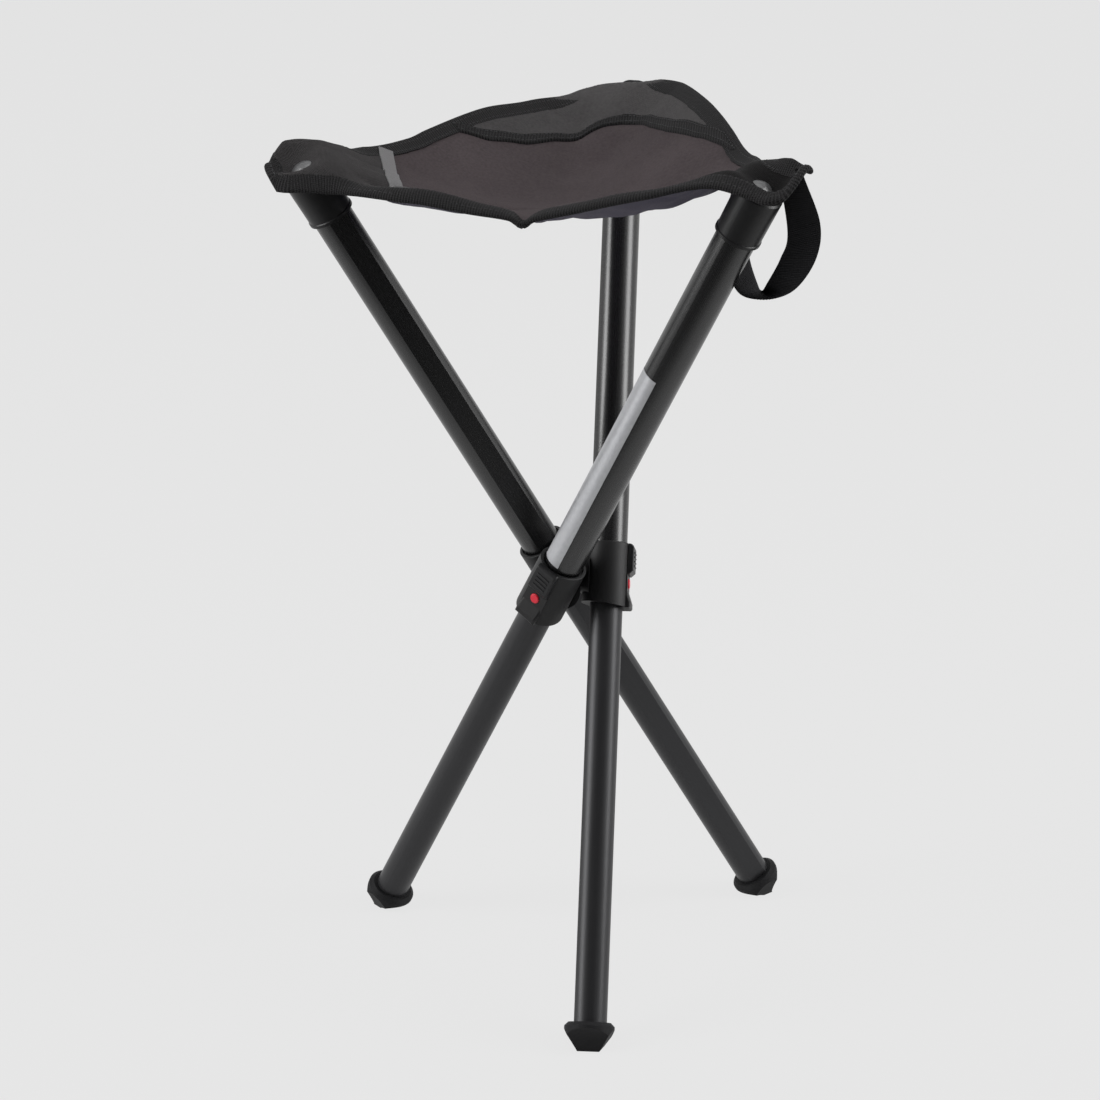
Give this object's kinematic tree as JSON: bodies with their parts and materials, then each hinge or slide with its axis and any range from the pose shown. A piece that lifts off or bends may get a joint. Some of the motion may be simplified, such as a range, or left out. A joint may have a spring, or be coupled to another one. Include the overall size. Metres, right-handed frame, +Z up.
{
  "type": "telescopic folding stool",
  "caption": "Folding sling-seat stool on crossed telescopic legs, with push-button locks, a central pivot hub and rubber feet.",
  "frame": {"origin": "on the floor, below the middle of the open stool's bounding box", "axes": "+Z up, towards the seat; the back leg's seat corner is towards +Y, and the right leg's is towards +X and -Y"},
  "size_m": [0.3114, 0.314, 0.5092],
  "materials": {
    "hub_plastic": "black nylon, satin",
    "steel": "plain steel",
    "seat_fabric": "tight dark grey weave",
    "lining_fabric": "plain purple-grey weave",
    "binding_tape": "ribbed near-black tape",
    "webbing": "ribbed black webbing",
    "upper_tube_metal": "black, satin gloss",
    "lower_tube_metal": "dark grey, satin",
    "cap_plastic": "black, satin",
    "collar_plastic": "black, matte",
    "button_plastic": "red, satin gloss",
    "bush_plastic": "natural white, smooth",
    "rivet_metal": "dark grey, smooth",
    "foot_rubber": "black, matte",
    "label_film": "bare silver film"
  },
  "bodies": {
    "hub": {"hub": "hub_plastic", "pivot_screws": "steel", "seat_panel": "seat_fabric", "seat_lining": "lining_fabric", "edge_binding_back_left": "binding_tape", "edge_binding_left_right": "binding_tape", "edge_binding_right_back": "binding_tape"},
    "upper_leg_back": {"upper_tube_back": "upper_tube_metal", "top_cap_back": "cap_plastic", "seat_rivet_back": "rivet_metal", "collar_back": "collar_plastic", "release_cover_back": "collar_plastic", "corner_patch_back": "seat_fabric"},
    "button_back": {"release_button_back": "button_plastic"},
    "lower_leg_back": {"lower_tube_back": "lower_tube_metal", "guide_bush_back": "bush_plastic", "snap_clip_back": "steel", "foot_back": "foot_rubber"},
    "upper_leg_left": {"upper_tube_left": "upper_tube_metal", "top_cap_left": "cap_plastic", "seat_rivet_left": "rivet_metal", "collar_left": "collar_plastic", "release_cover_left": "collar_plastic", "corner_patch_left": "seat_fabric"},
    "button_left": {"release_button_left": "button_plastic"},
    "lower_leg_left": {"lower_tube_left": "lower_tube_metal", "guide_bush_left": "bush_plastic", "snap_clip_left": "steel", "foot_left": "foot_rubber"},
    "upper_leg_right": {"upper_tube_right": "upper_tube_metal", "top_cap_right": "cap_plastic", "seat_rivet_right": "rivet_metal", "collar_right": "collar_plastic", "release_cover_right": "collar_plastic", "corner_patch_right": "seat_fabric", "label_strip": "label_film", "strap_loop": "webbing"},
    "button_right": {"release_button_right": "button_plastic"},
    "lower_leg_right": {"lower_tube_right": "lower_tube_metal", "guide_bush_right": "bush_plastic", "snap_clip_right": "steel", "foot_right": "foot_rubber"}
  },
  "joints": [
    {"name": "fold_back", "type": "hinge", "parent": "hub", "child": "upper_leg_back", "pos_m": [0.00817, -0.01609, 0.23803], "axis": [1, 0, 0], "range_deg": [0, 29.8], "deforming": ["corner_patch_back", "seat_panel", "seat_lining", "edge_binding_back_left", "edge_binding_left_right", "edge_binding_right_back"]},
    {"name": "extend_back", "type": "slide", "parent": "upper_leg_back", "child": "lower_leg_back", "axis": [0, 0.497, 0.8678], "range_m": [0, 0.233], "deforming": ["snap_clip_back"]},
    {"name": "press_back", "type": "slide", "parent": "upper_leg_back", "child": "button_back", "axis": [-1, 0, 0], "range_m": [0, 0.00145], "stiffness_N_per_m": 800, "springref_m": -0.002},
    {"name": "fold_left", "type": "hinge", "parent": "hub", "child": "upper_leg_left", "pos_m": [0.00817, -0.01609, 0.23803], "axis": [-0.5, 0.866, 0], "range_deg": [0, 29.8], "deforming": ["corner_patch_left"]},
    {"name": "extend_left", "type": "slide", "parent": "upper_leg_left", "child": "lower_leg_left", "axis": [-0.4304, -0.2485, 0.8678], "range_m": [0, 0.233], "deforming": ["snap_clip_left"]},
    {"name": "press_left", "type": "slide", "parent": "upper_leg_left", "child": "button_left", "axis": [0.5, -0.866, 0], "range_m": [0, 0.00145], "stiffness_N_per_m": 800, "springref_m": -0.002},
    {"name": "fold_right", "type": "hinge", "parent": "hub", "child": "upper_leg_right", "pos_m": [0.00817, -0.01609, 0.23803], "axis": [-0.5, -0.866, 0], "range_deg": [0, 29.8], "deforming": ["corner_patch_right", "strap_loop"]},
    {"name": "extend_right", "type": "slide", "parent": "upper_leg_right", "child": "lower_leg_right", "axis": [0.4304, -0.2485, 0.8678], "range_m": [0, 0.233], "deforming": ["snap_clip_right"]},
    {"name": "press_right", "type": "slide", "parent": "upper_leg_right", "child": "button_right", "axis": [0.5, 0.866, 0], "range_m": [0, 0.00145], "stiffness_N_per_m": 800, "springref_m": -0.002}
  ],
  "couplings": [
    {"joint": "fold_left", "follows": "fold_back", "ratio": 1},
    {"joint": "fold_right", "follows": "fold_back", "ratio": 1}
  ]
}
